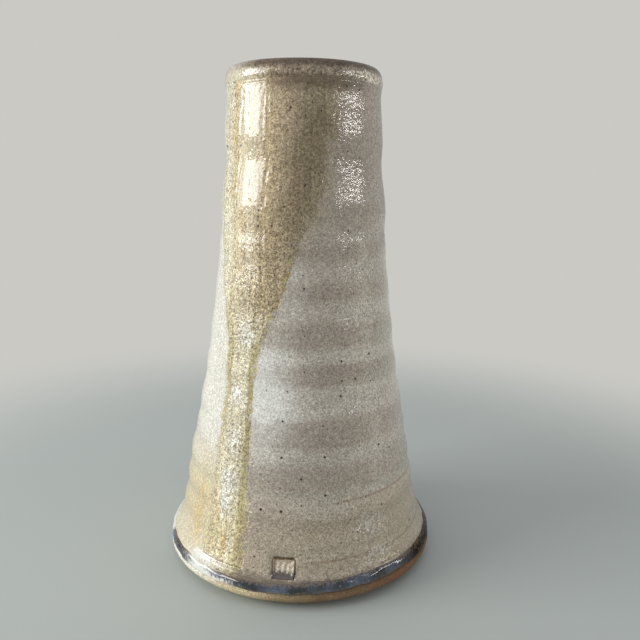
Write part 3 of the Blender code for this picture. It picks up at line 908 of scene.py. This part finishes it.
    run = g.grit(run, gritty + mottle * 0.5 + thread * 0.9 + 0.04, srgb(88, 70, 44))
    soft = g.step(z, 0.175, 0.235)
    crisp_share = g.step(right_edge - angle + ragged, -0.8, 0.8)
    soft_share = g.step(right_edge - angle + ragged * 1.6 + cloud * 34, -11, 10)
    right_share = crisp_share + (soft_share - crisp_share) * soft
    fade = g.step(z, 0.04, 0.1) * 3
    left_share = g.step((angle - left_edge + ragged) * (fade + 1), -4, 4)
    run_share = right_share * left_share
    shade = g.mix(run_share, shade, run)

    # fired ground grain, burnt ring lines and iron specks
    rough_ground = (grain * 3 + speckle * 1.3 + mottle * 0.35) * (1 - cream_share * 0.7)
    rough_ground = rough_ground * (1 - g.clamp(pale) * 0.4) * (1 - run_share)
    shade = g.grit(shade, rough_ground, srgb(108, 90, 74))
    line_height = z + cloud * 0.0022
    right_side = g.step(angle, -4, 16)
    burnt = g.hump(line_height - angle * 0.00001, 0.0245, 0.0006) * right_side * g.step(angle, 120, 80)
    burnt = burnt + g.hump(line_height, 0.056, 0.0007) * g.step(angle, 4, 34) * g.step(angle, 110, 90)
    shade = g.mix(g.clamp(burnt * (mottle * 1.5 + 0.65)) * 0.75, shade, RUST)
    warm_low = g.step(z + mottle * 0.006, 0.06, 0.054) * g.step(angle, 10, 50) * g.step(angle, 150, 100)
    shade = g.mix(warm_low * 0.22, shade, TAN)
    specks = g.wall_specks(0.0105, 0.00052, 0.26)
    small_specks = g.wall_specks(0.0043, 0.0003, 0.3) * g.step(z + cloud * 0.1, 0.25, 0.04)
    shade = g.mix(g.clamp(specks + small_specks * 0.75) * (1 - cream_share * 0.8), shade, IRON_SPECK)
    scratch = g.hump(angle - (z - 0.2725) * 560 + cloud * 2, -21.5, 0.3)
    scratch = scratch + g.hump(angle - (z - 0.2725) * 480 + cloud * 3, -23.5, 0.25) * 0.6
    scratch = scratch * g.step(z, 0.262, 0.265) * g.step(z, 0.284, 0.28)
    shade = g.mix(scratch * 0.6, shade, UMBER)
    # painted highlight: a near-white patch where the window's glare lies on the glaze above the iron band
    painted_glare_above_band = g.spot(-45, 0.0165, 9, 0.0024) * (mottle * 3 + speckle * 3 + 1.1)
    shade = g.mix(g.clamp(painted_glare_above_band) * 0.9, shade, srgb(240, 240, 236))
    seep = g.step(z + mottle * 0.006 + speckle * 0.004 + cloud * 0.004, 0.0192, 0.015)
    shade = g.mix(seep * g.step(angle, -42, -20) * g.right_end * 0.75, shade, srgb(104, 92, 80))
    # painted highlight: three pale speckled patches on the right, where the lamp's glints fall
    painted_glint_patches = g.spot(33, 0.04, 8, 0.0065) + g.spot(36, 0.024, 9, 0.003) * 0.8 + g.spot(27, 0.1065, 4, 0.0022)
    painted_glint_patches = g.clamp(painted_glint_patches * (speckle * 9 + grain * 4 + mottle * 2 + 0.45))
    shade = g.mix(painted_glint_patches * 0.75, shade, srgb(222, 218, 208))
    # brown glaze under the lip, deepened as painted shade where the lip overhangs the wall
    brown_and_shade_under_lip = g.hump(z + coarse * 0.002 + mottle * 0.006, 0.2838, 0.004) * g.step(angle + cloud * 20, -34, -8)
    brown_and_shade_under_lip = brown_and_shade_under_lip * g.step(angle + cloud * 30, 60, 20)
    brown_and_shade_under_lip = g.clamp(brown_and_shade_under_lip * (mottle + 1)) * 0.8
    shade = g.mix(brown_and_shade_under_lip, shade, UMBER)

    # the lip: brown on its crest, pale on the left, and brown with painted shade in the groove under it
    on_lip = g.step(z, 0.2852, 0.2872)
    lip_face = g.ramp(angle + cloud * 22, (
        (-178, 172, 158, 136), (-80, 204, 196, 176), (-48, 216, 208, 184),
        (-26, 176, 162, 138), (-6, 148, 134, 115), (22, 154, 141, 124),
        (46, 220, 211, 194), (178, 172, 158, 136),
    ), -180, 180)
    crest = g.step(z + mottle * 0.004 + cloud * 0.002, 0.2895, 0.2935)
    away = g.step(angle + cloud * 30, -62, -30) + g.step(angle + cloud * 30, -110, -160)
    crest = crest * (away * 0.8 + 0.2)
    lip_face = g.mix(crest * 0.92, lip_face, srgb(86, 70, 52))
    # painted shade: umber at the lip's foot under its ridge, partly glaze colour
    dim = g.hump(z + mottle * 0.003, 0.2862, 0.0018) * g.step(angle + cloud * 20, -36, -16)
    dim = dim * g.step(angle + cloud * 20, 50, 26)
    lip_face = g.mix(dim * 0.75, lip_face, UMBER)
    rough_lip = g.step(angle, -52, -24) * 0.55 + g.step(angle, -110, -160) * 0.55 + 0.45
    lip_grit = (grain * 4 + speckle * 3 + mottle * 0.8) * rough_lip
    lip_face = g.grit(lip_face, lip_grit, srgb(62, 48, 36))
    shade = g.mix(on_lip, shade, lip_face)

    # gloss: wet where the ash melted, drier near the foot
    roughness = g.clamp(g.step(z, 0.215, 0.12) * 0.12 + 0.07 + mottle * 0.14)
    bubbly = g.step(z, 0.225, 0.19) * g.clamp(run_share + 0.25)
    pebbled = g.spot(32, 0.0425, 10, 0.008) + g.spot(35, 0.0235, 10, 0.004) + g.spot(27, 0.1065, 5, 0.003)
    pebbled = g.clamp(pebbled * 1.3)
    roughness = g.clamp(roughness - pebbled * 0.1)
    dry = g.hump(angle + thread * 3, -45, 2.6) * g.step(z + mottle * 0.008, 0.258, 0.252)
    dry = dry + g.hump(angle + thread * 4, -29.5, 1.6) * 0.6
    dry = g.clamp(dry * (g.step(z, 0.195, 0.215) * 1.3)) * (mottle * 1.2 + 1)
    roughness = g.clamp(roughness + dry * 0.3)
    rough_side = g.step(angle, 10, 24) * g.right_end
    relief = peel * (rough_side * 0.00009 + pebbled * 0.00034 + 0.00014) + mottle * 0.0001 - scratch * 0.00006
    relief = relief + grain * (bubbly * 0.00006 + 0.00001) + speckle * (bubbly * 0.00006)
    return g.finish(shade, roughness, relief, 1.6)


def clay_material(name):
    """Bare toasted clay: cream on the left of the flange, tan in front, burnt on the right."""
    g = Graph(name)
    around = g.vector(g.wall_x, g.wall_y, g.z)
    cloud = g.noise(around, 60, 3)
    mottle = g.noise(g.position, 420, 3, 0.65)
    grain = g.noise(g.position, 1500, 2, 0.6)
    angle = g.angle + cloud * 30
    shade = g.ramp(angle, (
        (-178, 158, 134, 106), (-110, 212, 204, 184), (-72, 238, 234, 222),
        (-46, 240, 234, 216), (-26, 208, 193, 154), (-4, 160, 140, 106),
        (18, 130, 103, 74), (40, 134, 98, 67), (62, 132, 94, 63),
        (100, 112, 86, 64), (178, 158, 134, 106),
    ), -180, 180)
    scorch = g.clamp(g.hump(g.z + mottle * 0.003, 0.0108, 0.0016) * 0.55 + cloud * 0.9 + mottle * 0.6)
    scorch = scorch * g.step(g.angle, -30, 0) * g.right_end
    shade = g.mix(scorch, shade, srgb(74, 54, 38))
    shade = g.grit(shade, mottle * 1.2 + grain * 2.4, srgb(70, 50, 34))
    specks = g.specks(g.position, 330, 0.0003, 0.5)
    shade = g.mix(specks * 0.7, shade, IRON_SPECK)
    relief = mottle * 0.00016 + grain * 0.00006
    return g.finish(shade, g.clamp(mottle * 0.3 + 0.66), relief, 1.45)


def iron_material(name):
    """Iron glaze pooled thick: blue-black, breaking brown where it is thin, with a painted highlight on its
    left.
    """
    g = Graph(name)
    around = g.vector(g.wall_x, g.wall_y, g.z)
    cloud = g.noise(around, 70, 3)
    mottle = g.noise(g.position, 520, 3, 0.6)
    grain = g.noise(g.position, 1250, 2, 0.7)
    low, top = (
        g.curve(g.angle, [(row[0], row[1] * MM) for row in table], -180, 180, 0.008, 0.018)
        for table in (BAND_LOW, BAND_TOP)
    )
    share = (g.z - low) / (top - low)
    # blue-black glaze with blue-grey patches, partly painted reflection of the sky
    shade = g.mix(g.clamp(cloud * 5 + 0.35), srgb(26, 30, 40), srgb(84, 96, 114))
    shade = g.brighten(shade, grain * 2.4 + mottle * 1.2)
    burnt = g.step(g.angle + cloud * 20, 44, 54) * g.step(g.angle, 160, 120)
    shade = g.mix(burnt * 0.92, shade, srgb(34, 25, 18))
    thin = g.step(share + mottle * 1.2 + grain * 0.6, 0.26, 0.02)
    thin = thin + g.step(share + mottle * 1.2 + grain, 0.72, 0.98)
    shade = g.mix(g.clamp(thin) * 0.8, shade, srgb(116, 100, 82))
    rusty = g.step(share + mottle * 0.8, 0.2, 0) * g.step(g.angle, -10, 20) * g.right_end
    shade = g.mix(rusty * 0.8, shade, srgb(84, 60, 40))
    # painted highlight: near-white glaze on the left of the band, where the window's reflection falls on it
    pale = g.step(g.angle + mottle * 14 + cloud * 16, -72, -80) * g.step(g.angle, -150, -125)
    painted_window_glare = g.hump(g.angle + mottle * 14 + cloud * 6, -45, 7) * 1.4
    painted_window_glare = painted_window_glare + g.hump(g.angle + mottle * 12, -33, 6) * g.step(share + mottle * 1.5, 0.6, 0.35)
    shade = g.mix(g.clamp(pale + painted_window_glare), shade, srgb(238, 238, 232))
    fleck = g.specks(g.position, 420, 0.0003, 0.35)
    shade = g.mix(fleck * 0.6, shade, srgb(170, 176, 184))
    relief = mottle * 0.0001 + grain * 0.00003 + g.noise(around, 260, 2) * 0.00016
    g.feed(g.shader.inputs["Specular IOR Level"], 0.5 - burnt * (mottle * 0.25 + 0.46))
    return g.finish(shade, g.clamp(mottle * 0.12 + burnt * (mottle * 0.6 + 0.2) + 0.07), relief, 1.8)


def liner_material(name):
    g = Graph(name)
    around = g.vector(g.wall_x, g.wall_y, g.z)
    cloud = g.noise(around, 50, 3)
    mottle = g.noise(g.position, 320, 3, 0.6)
    grain = g.noise(g.position, 1200, 2)
    shade = g.mix(g.clamp(cloud * 1.6 + 0.5), srgb(170, 156, 130), srgb(142, 124, 98))
    shade = g.mix(g.step(g.z, 0.265, 0.286) * 0.5, shade, srgb(118, 96, 70))
    shade = g.brighten(shade, mottle * 0.4 + grain * 0.4)
    shade = g.mix(g.specks(g.position, 160, 0.0004, 0.6), shade, IRON_SPECK)
    return g.finish(shade, g.clamp(mottle * 0.2 + 0.24), mottle * 0.00008 + grain * 0.00003)


def seal_material(name):
    """Thin glaze over the pressed tablet, with dark glaze pooled in its lower part and painted shadow along its
    left and top edges.
    """
    g = Graph(name)
    mottle = g.noise(g.position, 500, 3, 0.6)
    grain = g.noise(g.position, 1400, 2)
    shade = g.mix(g.clamp(mottle * 3 + 0.5), srgb(218, 208, 190), srgb(180, 160, 130))
    shade = g.brighten(shade, grain * 2)
    across = g.angle - SEAL_ANGLE_DEG
    # painted shadow: brown along the recess's left and top edges, which the light from the left leaves in shade
    shadow_left_edge = g.step(across + mottle * 2, -3, -3.9)
    shadow_top_edge = g.step(g.z + mottle * 0.002, SEAL_MIDDLE + 0.0036, SEAL_MIDDLE + 0.0046)
    shade = g.mix(g.clamp(shadow_left_edge * 0.8 + shadow_top_edge), shade, srgb(128, 100, 74))
    pool = g.step(g.z + mottle * 0.005 + grain * 0.0016, SEAL_MIDDLE - 0.0008, SEAL_MIDDLE - 0.0026)
    shade = g.mix(pool * 0.92, shade, srgb(84, 80, 82))
    rough = g.clamp(0.34 - pool * 0.22 + mottle * 0.1)
    return g.finish(shade, rough, mottle * 0.00008 + grain * 0.00003)


# ---- build the pieces
def place(piece, material, slot, *nodes):
    piece.data.materials.clear()
    piece.data.materials.append(material)
    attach(piece, "root")
    if nodes:
        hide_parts(*nodes)


clay = clay_material("bare_clay_look")
ash = glaze("ash_glaze_look")
place(make_outer_skin(), ash, "ash_glaze", "outer_glaze")
place(make_lip(), ash, "ash_glaze", "lip_ring")
place(make_ash_run(), glaze("ash_run_look"), "ash_run", "ash_glaze_run")
place(make_flange(), clay, "bare_clay", "base_plate")
place(make_foot(), clay, "bare_clay", "foot_ring")
place(make_iron_band(), iron_material("iron_glaze_look"), "iron_glaze", "iron_glaze_band")
place(make_liner(), liner_material("liner_glaze_look"), "liner_glaze", "liner_glaze")
place(make_seal(), seal_material("seal_clay_look"), "seal_clay", "seal_tablet")
body_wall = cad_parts["body_wall"]
for material_slot in body_wall.material_slots:
    material_slot.material = clay


# ---- floor, light and camera
PALE_WALL = srgb(202, 201, 196)
FLOOR_HALF = 4.0
FLOOR_DROP = 0.0002                 # below the foot, so that the two faces don't meet


def make_floor():
    """A pale floor that fades into the colour of the wall behind."""
    half = FLOOR_HALF
    corners = [(x, y, -FLOOR_DROP) for x, y in ((-half, -half), (half, -half), (half, half), (-half, half))]
    floor = make_object("floor", corners, [(0, 1, 2, 3)])
    g = Graph("floor_look")
    shade = srgb(190, 196, 191)
    far = g.step(g.radius, 0.24, 0.6)
    shade = g.mix(far, shade, (0.0, 0.0, 0.0, 1.0))
    material = g.finish(shade, 0.55, None, 1.3)
    g.feed(g.shader.inputs["Emission Color"], PALE_WALL)
    g.feed(g.shader.inputs["Emission Strength"], far)
    g.feed(g.shader.inputs["Specular IOR Level"], 0.5 - far * 0.5)
    floor.data.materials.append(material)


def area_light(name, azimuth, height, distance, width, tall, power, tint, aim=0.15):
    """A rectangle that faces the vase. Azimuth is in degrees from the front, right positive."""
    data = bpy.data.lights.new(name, "AREA")
    data.shape = "RECTANGLE"
    data.size, data.size_y = width, tall
    data.energy = power
    data.color = tint
    item = bpy.data.objects.new(name, data)
    turn = math.radians(azimuth)
    item.location = (distance * math.sin(turn), -distance * math.cos(turn), height)
    towards = Vector((0.0, 0.0, aim)) - item.location
    item.rotation_euler = towards.to_track_quat("-Z", "Y").to_euler()
    bpy.context.scene.collection.objects.link(item)


def make_world():
    """Soft room light, dimmer from the right; the camera sees a plain pale wall instead."""
    world = bpy.data.worlds.new("studio")
    bpy.context.scene.world = world
    world.use_nodes = True
    tree = world.node_tree
    tree.nodes.clear()
    output, room, seen, choose, path, place_node, split, ramp, dim = (
        tree.nodes.new("ShaderNode" + kind)
        for kind in ("OutputWorld", "Background", "Background", "MixShader", "LightPath", "TexCoord",
                     "SeparateXYZ", "ValToRGB", "MapRange")
    )
    for mark, shade in zip(ramp.color_ramp.elements, ((0.4, 0.4, 0.395, 1.0), (0.6, 0.62, 0.66, 1.0))):
        mark.color = shade
    fill(dim, {"From Min": 0.0, "From Max": 0.9, "To Min": 1.0, "To Max": 0.72})
    fill(seen, {"Color": PALE_WALL})
    for source, target in (
        (place_node.outputs["Generated"], split.inputs[0]),
        (split.outputs["Z"], ramp.inputs["Fac"]),
        (split.outputs["X"], dim.inputs["Value"]),
        (dim.outputs[0], room.inputs["Strength"]),
        (ramp.outputs["Color"], room.inputs["Color"]),
        (path.outputs["Is Camera Ray"], choose.inputs["Fac"]),
        (room.outputs[0], choose.inputs[1]),
        (seen.outputs[0], choose.inputs[2]),
        (choose.outputs[0], output.inputs["Surface"]),
    ):
        tree.links.new(source, target)


CAMERA_LENS_MM = 36.15
CAMERA_PLACE = (0.0, -0.4, 0.2276)
CAMERA_TURN_DEG, CAMERA_DOWN_DEG, CAMERA_ROLL_DEG = -1.61, 11.41, 0.76


def make_camera():
    data = bpy.data.cameras.new("camera")
    data.sensor_width = 36.0
    data.lens = CAMERA_LENS_MM
    data.clip_start = 0.01
    camera = bpy.data.objects.new("camera", data)
    turn = Matrix.Rotation(math.radians(CAMERA_TURN_DEG), 4, "Z")
    tilt = Matrix.Rotation(math.radians(90.0 - CAMERA_DOWN_DEG), 4, "X")
    roll = Matrix.Rotation(math.radians(CAMERA_ROLL_DEG), 4, "Z")
    camera.matrix_world = Matrix.Translation(CAMERA_PLACE) @ turn @ tilt @ roll
    bpy.context.scene.collection.objects.link(camera)
    bpy.context.scene.camera = camera


make_floor()
area_light("window", -77.0, 0.64, 1.5, 1.05, 0.6, 16.4, (1.0, 0.99, 0.97), 0.18)
area_light("lamp", 70.0, 0.57, 1.5, 1.05, 0.05, 3.0, (1.0, 0.98, 0.95))
make_world()
make_camera()
view_settings = bpy.context.scene.view_settings
view_settings.view_transform = "Standard"
view_settings.look = "None"
